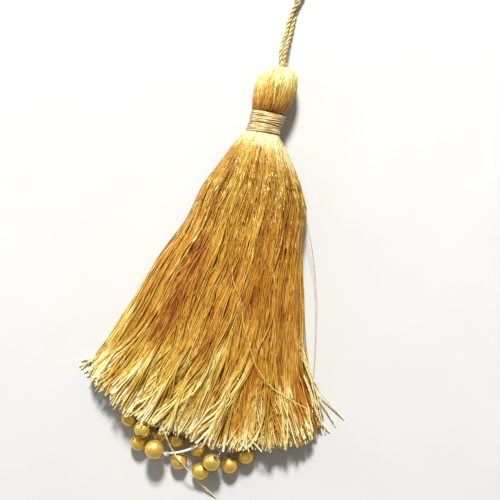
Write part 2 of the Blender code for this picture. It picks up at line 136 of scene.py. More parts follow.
def across_paths(paths):
    """Two directions across each path at each of its points, turned as little as can be."""
    along = unit(np.gradient(paths, axis=1))
    sides = np.empty_like(along)
    before = np.eye(3)[np.abs(along[:, 0]).argmin(axis=1)]
    for station in range(paths.shape[1]):
        now = along[:, station]
        before = unit(before - now * (before * now).sum(axis=1, keepdims=True))
        sides[:, station] = before
    return sides, np.cross(along, sides)


def thread_mesh(name, paths, radii, sides, **shades):
    """One object of closed tubes from paths in millimetres, all with as many points.  Its map
    has the way round in U and the length in V, and shades are kept as attributes."""
    count, stations = paths.shape[:2]
    side, other = across_paths(paths)
    turn = np.arange(sides) * 2 * np.pi / sides
    ring = side[:, :, None] * np.cos(turn)[:, None] + other[:, :, None] * np.sin(turn)[:, None]
    points = paths[:, :, None] + ring * np.broadcast_to(radii, (count, stations))[:, :, None, None]
    index = np.arange(count * stations * sides).reshape(count, stations, sides)
    after = np.roll(index, -1, axis=2)
    walls = np.stack([index[:, :-1], after[:, :-1], after[:, 1:], index[:, 1:]], axis=-1)
    first_caps, last_caps = index[:, 0, ::-1], index[:, -1]
    faces = [*walls.reshape(-1, 4).tolist(), *first_caps.tolist(), *last_caps.tolist()]
    mesh = bpy.data.meshes.new(name)
    mesh.from_pydata(points.reshape(-1, 3) * MM, [], faces)
    mesh.shade_smooth()
    pairs = np.empty(2 * len(mesh.edges), np.int32)
    mesh.edges.foreach_get("vertices", pairs)
    station = pairs.reshape(-1, 2) // sides % stations
    at_an_end = (station[:, 0] == station[:, 1]) & np.isin(station[:, 0], (0, stations - 1))
    mesh.edges.foreach_set("use_edge_sharp", at_an_end)

    steps = np.linalg.norm(np.diff(paths, axis=1), axis=2)
    length = np.concatenate([np.zeros((count, 1)), np.cumsum(steps, axis=1)], axis=1)
    low = np.broadcast_to(length[:, :-1, None], (count, stations - 1, sides))
    high = np.broadcast_to(length[:, 1:, None], (count, stations - 1, sides))
    here = np.broadcast_to(np.arange(sides) / sides, low.shape)
    there = here + 1 / sides
    wall_map = np.stack([here, low, there, low, there, high, here, high], axis=-1).reshape(-1, 2)
    around = np.tile(np.arange(sides) / sides, count)
    first_map = np.column_stack([around, np.zeros(count * sides)])
    last_map = np.column_stack([around, np.repeat(length[:, -1], sides)])
    layer = mesh.uv_layers.new(name="thread_map")
    layer.uv.foreach_set("vector", np.vstack([wall_map, first_map, last_map]).astype(np.float32).ravel())
    for shade, values in {"lemon": 0.0, **shades}.items():
        spread = np.broadcast_to(values, (count, stations))[:, :, None]
        spread = np.broadcast_to(spread, (count, stations, sides)).astype(np.float32)
        mesh.attributes.new(shade, "FLOAT", "POINT").data.foreach_set("value", spread.ravel())
    thing = bpy.data.objects.new(name, mesh)
    bpy.context.scene.collection.objects.link(thing)
    return thing


def add_node(tree, kind, inputs=None, **settings):
    """A new node with its settings, and each input linked if it is given a socket, or set."""
    node = tree.nodes.new(kind)
    for key, value in settings.items():
        setattr(node, key, value)
    for key, value in (inputs or {}).items():
        if isinstance(value, bpy.types.NodeSocket):
            tree.links.new(value, node.inputs[key])
        else:
            node.inputs[key].default_value = value
    return node


def sums(tree, operation, *values, clamp=False):
    """The result of one sum on sockets or numbers."""
    inputs = dict(enumerate(values))
    return add_node(tree, "ShaderNodeMath", inputs, operation=operation, use_clamp=clamp).outputs[0]


def noise(tree, at, scale, detail):
    """A cloudy value that wanders about a half."""
    inputs = {"Vector": at, "Scale": scale, "Detail": detail}
    return add_node(tree, "ShaderNodeTexNoise", inputs).outputs["Fac"]


def blend_colours(tree, share, first, second):
    """The first colour where the share is 0, and the second where it is 1."""
    node = add_node(tree, "ShaderNodeMix", {0: share, 6: first, 7: second}, data_type="RGBA")
    return node.outputs[2]


def make_silk_group():
    """Twisted silk: a slanted twist along the thread, a little darker in its grooves as painted
    shade, flecks with painted glints where filaments catch the light, soft patches from thread to
    thread, and paler ends and painted sheen."""
    tree = bpy.data.node_groups.new("Twisted silk", "ShaderNodeTree")
    sockets = (
        ("INPUT", "Float", ("Tone", "Tip", "Thread", "Lemon", "Twist length", "Twist depth")),
        ("INPUT", "Float", ("Fleck", "Glint", "Roughness")),
        ("INPUT", "Color", ("Dark", "Middle", "Lemon middle", "Light", "Pale colour")),
        ("OUTPUT", "Color", ("Color",)),
        ("OUTPUT", "Float", ("Roughness",)),
        ("OUTPUT", "Vector", ("Normal",)),
    )
    for way, kind, names in sockets:
        for name in names:
            tree.interface.new_socket(name, in_out=way, socket_type=f"NodeSocket{kind}")
    given = add_node(tree, "NodeGroupInput").outputs
    plus, minus, times, over = (
        partial(sums, tree, operation) for operation in ("ADD", "SUBTRACT", "MULTIPLY", "DIVIDE")
    )

    # The twist opens and closes slowly along each thread, and is tight again towards the hem.
    thread_map = add_node(tree, "ShaderNodeUVMap", uv_map="thread_map").outputs["UV"]
    around, length, _ = add_node(tree, "ShaderNodeSeparateXYZ", {0: thread_map}).outputs
    own = times(given["Thread"], 37.0)
    along = plus(length, times(given["Thread"], 91.0))
    slow_run = add_node(tree, "ShaderNodeCombineXYZ", {0: own, 1: along, 2: 3.0})
    slow = noise(tree, slow_run.outputs[0], scale=0.3, detail=2.0)
    slip = times(slow, 3.0)
    turns = plus(over(length, given["Twist length"]), plus(around, slip))
    twist = sums(tree, "SINE", times(turns, 2 * math.pi))
    open_twist = minus(times(slow, 5.0), 2.2, clamp=True)
    near_top = minus(1.4, over(length, 27.0), clamp=True)
    open_twist = times(open_twist, near_top)

    # Flecks run along the thread, and patches lie over many threads at once.
    run = add_node(tree, "ShaderNodeCombineXYZ", {0: own, 1: along, 2: times(around, 0.6)})
    fleck = minus(noise(tree, run.outputs[0], scale=0.36, detail=1.0), 0.5)
    coordinates = add_node(tree, "ShaderNodeTexCoord").outputs["Object"]
    stretched = add_node(tree, "ShaderNodeMapping", {"Vector": coordinates, "Scale": (420.0, 110.0, 300.0)})
    patch = minus(noise(tree, stretched.outputs[0], scale=1.0, detail=2.0), 0.5)

    # How light the silk is, from 0 for its dark colour to 1 for its light one.
    value = plus(given["Tone"], times(fleck, given["Fleck"]))
    value = plus(value, times(patch, 0.42))
    # The twist's grooves are a little darker: painted shade.
    value = plus(value, times(twist, 0.05))
    # The pale share lightens the colour: paler frayed ends, and painted sheen where light falls on the silk.
    value = plus(value, times(given["Tip"], 0.5))
    # Painted glints: along the thread's upper part, where the flecks run high, the colour is made lighter and
    # paler, a painted highlight.
    glint = times(times(minus(fleck, 0.07), 12.0, clamp=True), times(open_twist, given["Glint"]))
    value = plus(value, glint)

    # Its colour, with pale ends, painted sheen and painted glints where the value is high enough.
    lower_half = times(value, 2.0, clamp=True)
    upper_half = minus(times(value, 2.0), 1.0, clamp=True)
    lemon = sums(tree, "MAXIMUM", given["Lemon"], times(given["Tip"], 2.5), clamp=True)
    middle = blend_colours(tree, lemon, given["Middle"], given["Lemon middle"])
    dark = blend_colours(tree, times(lemon, 0.15), given["Dark"], given["Lemon middle"])
    colour = blend_colours(tree, lower_half, dark, middle)
    colour = blend_colours(tree, upper_half, colour, given["Light"])
    pale = times(given["Tip"], plus(fleck, 0.9), clamp=True)
    lit = times(minus(value, 0.3), 3.0, clamp=True)
    pale = times(sums(tree, "MAXIMUM", pale, times(glint, 0.45)), lit, clamp=True)
    colour = blend_colours(tree, pale, colour, given["Pale colour"])

    rough = minus(given["Roughness"], times(fleck, 0.3), clamp=True)
    height = plus(times(twist, times(open_twist, 0.5)), times(fleck, 0.5))
    relief = {"Height": height, "Distance": given["Twist depth"], "Strength": 1.0}
    normal = add_node(tree, "ShaderNodeBump", relief).outputs["Normal"]
    add_node(tree, "NodeGroupOutput", {"Color": colour, "Roughness": rough, "Normal": normal})
    return tree


silk_group = make_silk_group()


def new_material(name):
    """A material, its nodes, and the shader that they lead to."""
    material = bpy.data.materials.new(name)
    material.use_nodes = True
    return material, material.node_tree, material.node_tree.nodes["Principled BSDF"]


def make_silk(name, colours, pale_colour, twist, depth, fleck, glint, roughness, shader_values):
    """A silk material from the group, with the shader's plain values on its own sockets."""
    material, tree, shader = new_material(name)
    inputs = {
        shade.capitalize(): add_node(tree, "ShaderNodeAttribute", attribute_name=shade).outputs["Fac"]
        for shade in ("tone", "tip", "thread", "lemon")
    }
    inputs |= {shade: (*colour, 1) for shade, colour in {**colours, "Pale colour": pale_colour}.items()}
    inputs |= {
        "Twist length": twist, "Twist depth": depth * MM, "Fleck": fleck, "Glint": glint,
        "Roughness": roughness,
    }
    silk = add_node(tree, "ShaderNodeGroup", inputs, node_tree=silk_group)
    for found, wanted in (("Color", "Base Color"), ("Roughness", "Roughness"), ("Normal", "Normal")):
        tree.links.new(silk.outputs[found], shader.inputs[wanted])
    for key, value in shader_values.items():
        shader.inputs[key].default_value = value
    return material


cord_gold = {
    "Dark": (0.13, 0.075, 0.008), "Middle": (0.46, 0.34, 0.10), "Lemon middle": (0.46, 0.34, 0.10),
    "Light": (0.84, 0.76, 0.42),
}
cord_silk = make_silk(
    "cord_silk", cord_gold, pale_colour=(0.9, 0.8, 0.5), twist=0.55, depth=0.06, fleck=0.6, glint=0.3,
    roughness=0.4, shader_values={"Specular IOR Level": 0.8, "Metallic": 0.15},
)

loop_line = smooth_rows(LOOP_ROUTE)
loop_length = float(np.linalg.norm(np.diff(loop_line, axis=0), axis=1).sum())
loop_line = even_points(loop_line / MM, round(loop_length / MM / LOOP_STEP))
loop_side, loop_other = (found[0] for found in across_paths(loop_line[None]))
twist_angle = np.linspace(0, 2 * np.pi * loop_length / MM / LOOP_LAY, len(loop_line))[:, None]
plies = np.stack([
    loop_line + PLY_OFFSET * (loop_side * np.cos(angle) + loop_other * np.sin(angle))
    for angle in (twist_angle, twist_angle + np.pi)
])
hanging_loop = thread_mesh(
    "hanging_loop_cord", plies, PLY_RADIUS, PLY_SIDES, tone=np.array([[0.5], [0.56]]), tip=0.0,
    thread=np.array([[0.1], [0.6]]),
)
hanging_loop.data.materials.append(cord_silk)
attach(hanging_loop, "root")
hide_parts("hanging_loop")

# -------------------------------- head
# A hank of gold silk folded over itself at the crown.  Its threads run from the cord's eye
# over a round head and down into the neck, some of them wandering across the others.

# Rows from the crown to the neck: the ring's place, its half widths' ends, and its tilt.
HEAD_ROWS = (
    # y, left, right, low, high, tilt
    (4.62, -0.05, 0.75, 4.30, 5.10, 8),
    (4.82, -1.10, 1.70, 3.10, 6.05, 9),
    (4.50, -2.65, 2.85, 1.75, 7.40, 9),
    (3.90, -3.42, 3.46, 0.95, 8.10, 8),
    (2.90, -4.02, 3.94, 0.40, 8.65, 7),
    (1.50, -4.42, 4.24, 0.05, 8.98, 5),
    (-0.10, -4.58, 4.34, 0.00, 9.12, 4),
    (-1.70, -4.56, 4.20, 0.00, 9.02, 3),
    (-3.20, -4.46, 3.82, 0.20, 8.72, 2),
    (-4.20, -4.34, 3.42, 0.60, 8.35, 1),
    (-4.80, -4.22, 3.02, 1.05, 7.90, 0),
    (-5.20, -4.05, 2.62, 1.55, 7.45, 0),
    (-6.20, -3.30, 2.50, 1.60, 7.40, 0),
)
HEAD_THREAD_RADIUS = 0.16
HEAD_INNER_THREADS = 120
HEAD_OUTER_THREADS = 230
HEAD_STATIONS = 26
HEAD_SIDES = 5
HEAD_WANDER = 0.15  # radians
HEAD_TONE = (0.5, 0.17)  # the middle and the spread
# The inner threads are darker: painted shade under the outer ones.
HIDDEN_TONE = 0.3
# How pale the crown's painted highlight is at its brightest.
BRIGHTEST_SHEEN = 1.2

silk_gold = {
    "Dark": (0.21, 0.034, 0.0003), "Middle": (0.49, 0.215, 0.014), "Lemon middle": (0.50, 0.305, 0.026),
    "Light": (0.77, 0.62, 0.19),
}
head_gold = {**silk_gold, "Lemon middle": (0.54, 0.42, 0.08)}
silk_pale = (0.66, 0.66, 0.56)
silk_shine = {"Specular IOR Level": 1.0, "IOR": 1.7, "Metallic": 0.0, "Specular Tint": (1.0, 0.82, 0.44, 1)}
head_silk = make_silk(
    "head_silk", head_gold, pale_colour=silk_pale, twist=2.2, depth=0.12, fleck=0.6, glint=0.12,
    roughness=0.36, shader_values=silk_shine,
)
head_table = smooth_rows(HEAD_ROWS)


def on_head(share, angle, inset):
    """A place on the head, share 0 at the crown and 1 in the neck, angle 0 at the right."""
    at = share * (len(head_table) - 1)
    y, left, right, low, high, tilt = (
        np.interp(at, np.arange(len(head_table)), column) for column in head_table.T
    )
    x = (left + right) / 2 + ((right - left) / 2 - inset) * np.cos(angle)
    z = (low + high) / 2 + ((high - low) / 2 - inset) * np.sin(angle)
    return np.stack([x, y + x * np.tan(np.radians(tilt)), z], axis=-1)


def head_paths(rng, count, inset, wander):
    """Threads spaced nearly evenly round the head, each with its own slow wander."""
    share = np.linspace(0, 1, HEAD_STATIONS)[None] * np.ones((count, 1))
    start = (np.arange(count)[:, None] + rng.uniform(-0.3, 0.3, (count, 1))) * 2 * np.pi / count
    swings = rng.uniform(0.5, 1.5, (count, 1)) * share + rng.uniform(0, 1, (count, 1))
    angle = start + wander * rng.normal(0, 1, (count, 1)) * np.sin(2 * np.pi * swings)
    lift = inset + rng.normal(0, 0.05, (count, 1)) * np.sin(np.pi * share)
    paths = on_head(share, angle, lift)
    paths[..., 2] = np.maximum(paths[..., 2], HEAD_THREAD_RADIUS)
    return paths


head_rng = np.random.default_rng(3)
inner_head = head_paths(head_rng, HEAD_INNER_THREADS, 0.42, 0.04)
outer_head = head_paths(head_rng, HEAD_OUTER_THREADS, 0.16, HEAD_WANDER)
head_lines = np.concatenate([inner_head, outer_head])
head_count = len(head_lines)
head_shares = np.linspace(0, 1, HEAD_STATIONS)[None]
crown_slim = np.interp(head_shares, (0, 0.12, 0.3), (0.35, 0.7, 1.0))
outer_tone = head_rng.normal(*HEAD_TONE, HEAD_OUTER_THREADS)
# Inner threads take the darker tone of painted shade.
head_tone = np.append(np.full(HEAD_INNER_THREADS, HIDDEN_TONE), outer_tone)[:, None]
# Painted shade: the head darkens towards the neck.
head_lower_shade = np.interp(head_shares, (0.4, 0.8), (0.0, 0.26))
# Painted highlight: the head's threads are whitish from the crown down to a place of each one's own, where
# light falls on its top.
crown_sheen_end = head_rng.uniform(0.25, 0.56, (head_count, 1))
crown_sheen = BRIGHTEST_SHEEN * (1 - head_shares / crown_sheen_end).clip(0) ** 0.5
crown_sheen = crown_sheen * head_rng.uniform(0.35, 1.1, (head_count, 1))
tassel_head = thread_mesh(
    "head_threads", head_lines, HEAD_THREAD_RADIUS * crown_slim, HEAD_SIDES,
    tone=head_tone - head_lower_shade,
    tip=crown_sheen,
    thread=head_rng.uniform(0, 1, (head_count, 1)),
    lemon=np.interp(head_shares, (0.42, 0.72), (1.0, 0.0)),
)
tassel_head.data.materials.append(head_silk)
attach(tassel_head, "root")
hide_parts("tassel_body")

# The eye at the crown: three turns of cord thread drawn tight round the loop's two legs.
EYE_MIDDLE = (0.28, 5.35, 4.75)
EYE_RADII = (0.66, 0.74)
EYE_TURNS = 3
EYE_STEPS = 24  # to a turn
EYE_PITCH = 0.36
EYE_THREAD = 0.2
eye_turn = np.linspace(0, 2 * np.pi * EYE_TURNS, EYE_STEPS * EYE_TURNS + 1)
eye_line = np.column_stack([
    EYE_MIDDLE[0] + EYE_RADII[0] * np.cos(eye_turn),
    EYE_MIDDLE[1] + EYE_PITCH * (eye_turn / (2 * np.pi) - EYE_TURNS / 2),
    EYE_MIDDLE[2] + EYE_RADII[1] * np.sin(eye_turn),
])
crown_eye = thread_mesh("crown_eye", eye_line[None], EYE_THREAD, PLY_SIDES, tone=0.5, tip=0.0, thread=0.3)
crown_eye.data.materials.append(cord_silk)
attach(crown_eye, "root")

# -------------------------------- neck binding
# Pale gold thread wound tightly round the neck in two layers.  The outer turns are uneven, and
# fan apart at the right where the layer below shows.

BINDING_TOP = -5.32
BINDING_END = -9.62
BINDING_TURNS = 13
BINDING_THREAD = 0.175
BINDING_STEPS = 40  # to a turn
BINDING_SIDES = 7
BINDING_TILTS = (-1.0, 4.6)  # degrees, at the top and at the end
BINDING_WANDER = 0.07
WANDER_KNOTS = 5  # to a turn
WANDER_BLUR = 9  # steps
NECK_LEVEL = 4.5
# Rows down the neck: y, the middle's x, the outer radius.
NECK_ROWS = (
    (-5.15, -0.40, 3.80),
    (-6.20, -0.48, 3.76),
    (-7.20, -0.62, 3.66),
    (-8.20, -0.72, 3.60),
    (-9.00, -0.76, 3.66),
    (-9.75, -0.78, 3.80),
)
FAN_PLACE = -7.2  # the y that the turns fan out from
FAN_SPREAD = 6.0  # times a winding's unevenness

binding_gold = {
    "Dark": (0.15, 0.05, 0.01), "Middle": (0.40, 0.265, 0.08), "Lemon middle": (0.40, 0.265, 0.08),
    "Light": (0.82, 0.75, 0.44),
}
binding_silk = make_silk(
    "binding_silk", binding_gold, pale_colour=silk_pale, twist=0.7, depth=0.05, fleck=1.2, glint=0.6,
    roughness=0.36, shader_values={"Specular IOR Level": 0.8, "Metallic": 0.0},
)


def binding_line(rng, inset, start, unevenness):
    """One winding from the top of the neck to its lower end."""
    count = BINDING_TURNS * BINDING_STEPS + 1
    share = np.linspace(0, 1, count)
    angle = start + share * 2 * np.pi * BINDING_TURNS
    y = BINDING_TOP + (BINDING_END - BINDING_TOP) * share
    neck_y, neck_x, neck_radius = np.array(NECK_ROWS).T
    middle = np.interp(-y, -neck_y, neck_x)
    radius = np.interp(-y, -neck_y, neck_radius) - inset
    knots = rng.normal(0, unevenness, BINDING_TURNS * WANDER_KNOTS + 2)
    wander = np.interp(share * BINDING_TURNS * WANDER_KNOTS, np.arange(len(knots)), knots)
    blur = np.full(WANDER_BLUR, 1 / WANDER_BLUR)
    wander = np.convolve(np.pad(wander, WANDER_BLUR // 2, mode="edge"), blur, mode="valid")
    wander *= np.clip(np.minimum(share, 1 - share) * 8, 0, 1)
    out = radius * np.cos(angle)
    tilt = np.radians(BINDING_TILTS[0] + (BINDING_TILTS[1] - BINDING_TILTS[0]) * share)
    y = y + out * np.tan(tilt) + wander
    at_right = np.clip((out + 0.2) / 2.4, 0, 1) * np.clip(np.sin(angle) * 2, 0, 1)
    from_fan = y - FAN_PLACE
    y = y + unevenness * FAN_SPREAD * at_right * np.tanh(from_fan / 0.35) * np.exp(-(from_fan**2))
    return np.column_stack([middle + out, y, NECK_LEVEL + radius * np.sin(angle)])


binding_rng = np.random.default_rng(8)
windings = np.stack([
    binding_line(binding_rng, inset=BINDING_THREAD, start=4.2, unevenness=BINDING_WANDER),
    binding_line(binding_rng, inset=2.6 * BINDING_THREAD, start=5.2, unevenness=0.0),
])
# The layer below is darker: painted shade where it shows between the fanned outer turns.
neck_binding = thread_mesh(
    "neck_binding_turns", windings, BINDING_THREAD, BINDING_SIDES, tone=np.array([[0.6], [0.2]]), tip=0.0,
    thread=np.array([[0.2], [0.7]]),
)
neck_binding.data.materials.append(binding_silk)
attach(neck_binding, "root")
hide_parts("neck_binding")

# -------------------------------- skirt
# About four thousand cut silk threads hang from the neck and lie fanned out on the surface.
# They gather into loose locks towards the hem, ride over one another, and end uneven and frayed.

SKIRT_START = -9.4
# Rows down the skirt: share of a thread's length, the section's left, right, low and high
# ends, the lean of the middle threads, and how far the round section has become a low dome.
SKIRT_ROWS = (
    # share, left, right, low, high, lean, flat
    (0.000, -3.75, 2.35, 1.45, 7.55, 0.00, 0.00),
    (0.024, -4.85, 3.70, 0.45, 8.55, 0.00, 0.00),
    (0.047, -5.60, 4.95, 0.05, 9.05, 0.00, 0.00),
    (0.085, -6.90, 6.70, 0.00, 9.30, 0.00, 0.20),
    (0.162, -8.95, 9.90, 0.00, 9.50, 0.00, 0.45),
    (0.250, -11.20, 12.10, 0.00, 9.30, 0.00, 0.60),
    (0.390, -13.10, 13.20, 0.00, 8.85, 0.00, 0.75),
    (0.550, -17.00, 15.70, 0.00, 8.10, -0.02, 0.90),
    (0.695, -19.80, 18.00, 0.00, 7.35, -0.05, 1.00),
    (0.850, -23.20, 21.30, 0.00, 6.50, -0.18, 1.00),
    (1.000, -27.00, 26.20, 0.00, 5.60, -0.30, 1.00),
)
# The hem, as x and y from the left.
HEM_ROWS = (
    (-27.0, -68.0), (-24.0, -70.4), (-17.5, -73.8), (-9.0, -76.3), (0.0, -77.4),
    (8.0, -76.9), (16.0, -75.4), (22.0, -73.0), (27.0, -69.8),
)
DOME_FALL = 0.38  # of the height, from the dome's middle to its edge
DOME_POWER = 2.4
CHORD_TRIM = 0.97
TOP_DRAW_IN = 0.12
SKIRT_LOCKS = 58  # across the skirt
LOCK_LAYERS = 7
THREAD_RADIUS = 0.16
THREAD_LEVEL = 1.3 * THREAD_RADIUS  # the lowest that a thread's middle lies
# The shares of a thread's length where its points lie, closer in the neck.
SKIRT_SHARES = np.concatenate([(0, 0.02, 0.042, 0.07), np.linspace(0.105, 1, 24)])
BUNCHES = ((9, 0.5), (14, 2.1), (23, 4.0))  # cycles across the hem, and where each starts
BUNCHING = 0.28
BEAD_CLEARANCE = 0.3
# Each bead's centre, radius, and the way that the string's end of its hole points, in degrees.
BEADS = (
    (-15.50, -75.90, 1.90, 1.90, 88, 8),
    (-12.20, -77.35, 4.40, 1.85, 86, -28),
    (-12.45, -80.65, 1.85, 1.85, -15, -26),
    (-8.80, -81.10, 4.55, 2.10, 92, 4),
    (-8.50, -77.90, 1.80, 1.80, 90, 6),
    (-4.58, -78.20, 1.80, 1.80, 90, 10),
    (0.30, -79.00, 1.90, 1.90, 96, 8),
    (-3.20, -82.70, 1.85, 1.85, 70, 4),
    (1.90, -83.80, 1.90, 1.90, 55, 37),
    (3.80, -81.10, 4.36, 1.90, 55, 37),
    (7.70, -81.20, 1.85, 1.85, 92, 6),
    (10.65, -78.35, 1.90, 1.90, 92, 8),
)

skirt_silk = make_silk(
    "skirt_silk", silk_gold, pale_colour=(0.80, 0.76, 0.50), twist=3.4, depth=0.38, fleck=0.8, glint=0.5,
    roughness=0.38, shader_values=silk_shine,
)
skirt_table = smooth_rows(SKIRT_ROWS)


def in_skirt(share, across, up):
    """A place in the skirt: share 0 in the neck and 1 at the hem, across -1 at the left and 1
    at the right, up 0 below and 1 on top."""
    left, right, low, high, lean, flat = (
        np.interp(share, skirt_table[:, 0], column) for column in skirt_table[:, 1:].T
    )
    drawn = across * (1 - TOP_DRAW_IN * flat * up * up)
    wide = (drawn + 1) / 2
    wide = wide + lean * wide * (1 - wide)
    x = left + (right - left) * wide
    height = high - low
    chord = np.sqrt(1 - np.clip(CHORD_TRIM * across, -1, 1) ** 2)
    bottom = low + height * (0.5 - 0.5 * chord) * (1 - flat)
    dome = low + height * (1 - DOME_FALL * np.abs(across) ** DOME_POWER)
    top = (low + height * (0.5 + 0.5 * chord)) * (1 - flat) + dome * flat
    return x, bottom + (top - bottom) * up


def hem_at(x):
    """How far down the hem lies at a place."""
    return np.interp(x, *np.array(HEM_ROWS).T)


def hem_y(across):
    """How far down a thread ends that hangs straight from a place across."""
    _, left, right, _, _, lean, _ = SKIRT_ROWS[-1]
    wide = (across + 1) / 2
    wide = wide + lean * wide * (1 - wide)
    return hem_at(left + (right - left) * wide)


def ease(low, high, value):
    """A smooth step from 0 at low to 1 at high."""
    share = np.clip((value - low) / (high - low), 0, 1)
    return share * share * (3 - 2 * share)


# Locks that have slid sideways over the rest: where each starts across the skirt, how far it
# leans by the hem, the share where it starts to, how pale its ends are, and its threads.
SLID_LOCKS = (
    (0.50, -0.30, 0.52, 0.8, 22),
    (0.56, -0.27, 0.56, 0.6, 14),
    (0.13, -0.33, 0.58, 0.9, 22),
    (0.05, -0.22, 0.55, 0.4, 10),
    (-0.22, -0.20, 0.66, 0.8, 18),
    (-0.38, -0.16, 0.66, 1.0, 24),
    (-0.62, -0.12, 0.62, 0.8, 18),
    (-0.84, -0.10, 0.74, 0.9, 20),
    (0.30, 0.12, 0.62, 0.2, 10),
    (0.66, -0.12, 0.76, 1.0, 18),
    (0.80, 0.10, 0.60, 0.5, 14),
    (0.90, 0.07, 0.70, 0.8, 14),
)
SLID_SPREAD = 0.055
SLID_LIFT = 0.3  # above the skirt's top
WILD_LOCKS = 0.3  # the share of locks that lean more
LOCK_LEANS = (0.10, 0.04)  # wild and calm
DARK_LOCKS = 0.1  # the share that are darker
DARK_STEP = 0.2
# What else differs from lock to lock: how it is drawn, and the draw's two values.
LOCK_TRAITS = (
    ("pull", "uniform", 0.45, 1.0),
    ("sway", "normal", 0, 0.62),
    ("rise", "normal", 0, 0.55),
    ("sway_turn", "uniform", 0, 2 * np.pi),
    ("rise_turn", "uniform", 0, 2 * np.pi),
    ("waves", "uniform", 0.5, 1.6),
    ("tone", "normal", 0, 0.08),
    ("darkening", "uniform", 0, 1),
    ("trim", "uniform", -0.4, 1.9),
    ("tip_lean", "normal", -0.01, 0.05),
    ("hem_tone", "normal", 0, 0.17),
)
slid_middle, slid_lean, slid_start, slid_pale, slid_count = np.array(SLID_LOCKS).T
lock_rng = np.random.default_rng(21)
lock_count = SKIRT_LOCKS * LOCK_LAYERS
lock_layer, lock_column = np.divmod(np.arange(lock_count), SKIRT_LOCKS)
lock_middle = lock_column + 0.5 + lock_rng.uniform(-0.35, 0.35, lock_count)
lock_level = lock_layer + 0.5 + lock_rng.uniform(-0.3, 0.3, lock_count)
lock_lean = np.where(lock_rng.uniform(0, 1, lock_count) < WILD_LOCKS, *LOCK_LEANS)
locks = {
    "middle": np.append(-1 + 2 * lock_middle / SKIRT_LOCKS, slid_middle),
    "level": np.append(lock_level / LOCK_LAYERS, np.ones(len(SLID_LOCKS))),
    "lean": np.append(lock_lean * lock_rng.normal(0, 1, lock_count), slid_lean),
    "lean_start": np.append(lock_rng.uniform(0.35, 0.75, lock_count), slid_start),
    "pale": np.append(lock_rng.uniform(0, 1, lock_count) ** 2.0, slid_pale),
}
for trait, draw, first, second in LOCK_TRAITS:
    locks[trait] = getattr(lock_rng, draw)(first, second, lock_count + len(SLID_LOCKS))
locks["tone"] -= DARK_STEP * (locks["darkening"] < DARK_LOCKS)


def lock_of(rng, across, up):
    """The lock that each thread falls into."""
    column = np.floor((across + 1) / 2 * SKIRT_LOCKS + rng.normal(0, 0.25, len(across))).astype(int)
    layer = np.floor(up * LOCK_LAYERS).astype(int)
    return column.clip(0, SKIRT_LOCKS - 1) + SKIRT_LOCKS * layer.clip(0, LOCK_LAYERS - 1)


# Where locks swell out of the skirt, and the hollows between them: from x, y to x, y, half
# the width, and how much lighter the threads are there, as painted light on the swells and
# painted shade in the hollows.
FOLDS = (
    (-3.0, -14.0, -5.5, -40.0, 1.3, 0.13),
    (-8.5, -38.0, -13.0, -57.0, 2.6, -0.20),
    (-12.5, -60.8, -18.0, -68.0, 1.1, 0.22),
    (-6.5, -61.0, -13.0, -72.5, 1.0, 0.18),
    (1.5, -56.0, -5.0, -70.0, 0.9, 0.26),
    (-3.6, -67.0, -4.6, -72.0, 1.8, 0.17),
    (7.0, -59.0, 1.0, -75.5, 1.1, 0.22),
    (8.6, -58.0, 8.0, -72.0, 1.8, -0.20),
    (5.0, -42.5, 4.0, -49.8, 0.5, -0.35),
    (0.5, -39.0, 0.3, -41.5, 0.6, -0.25),
    (7.2, -19.0, 8.6, -32.0, 0.7, -0.15),
    (4.8, -71.5, 4.2, -76.5, 0.7, -0.35),
    (16.0, -64.0, 18.8, -75.0, 1.3, 0.22),
    (19.2, -60.0, 21.2, -68.5, 1.3, -0.30),
    (12.0, -62.0, 12.6, -68.5, 1.2, -0.10),
    (15.4, -57.0, 15.8, -64.0, 1.8, 0.08),
    (-15.6, -52.0, -20.0, -64.0, 1.8, -0.13),
    (-2.6, -72.5, -3.4, -77.0, 0.5, -0.25),
    (14.8, -71.0, 15.2, -76.0, 1.0, 0.22),
)
FOLD_RISE = 1.5  # times how much lighter


def folds_at(x, y):
    """How much the folds rise at a place, and the painted light and shade that they put there."""
    total = np.zeros(np.broadcast(x, y).shape)
    for start_x, start_y, end_x, end_y, half_width, lighter in FOLDS:
        along_x, along_y = end_x - start_x, end_y - start_y
        run = ((x - start_x) * along_x + (y - start_y) * along_y) / (along_x**2 + along_y**2)
        run = run.clip(0, 1)
        away = np.hypot(x - start_x - run * along_x, y - start_y - run * along_y)
        total = total + lighter * np.exp(-((away / half_width) ** 2))
    return total


# How far each thread strays from its lock.
MOST_WAVES = 8.0
OWN_SWAY = 0.95
OWN_RISE = 0.5
OWN_LEAN = 0.035
OWN_TIP_LEAN = 0.055
CROSSING_SHIFT = 0.06
CROSSING_LIFT = 0.35
LAYER_TRIM = 3.6  # how much shorter the lowest threads are
SHORT_THREADS = 0.04  # the share that were cut short
SHORT_TRIM = (2, 14)
HELD_BY_LOCK = 0.6  # how far a gathered thread goes to its lock's own level


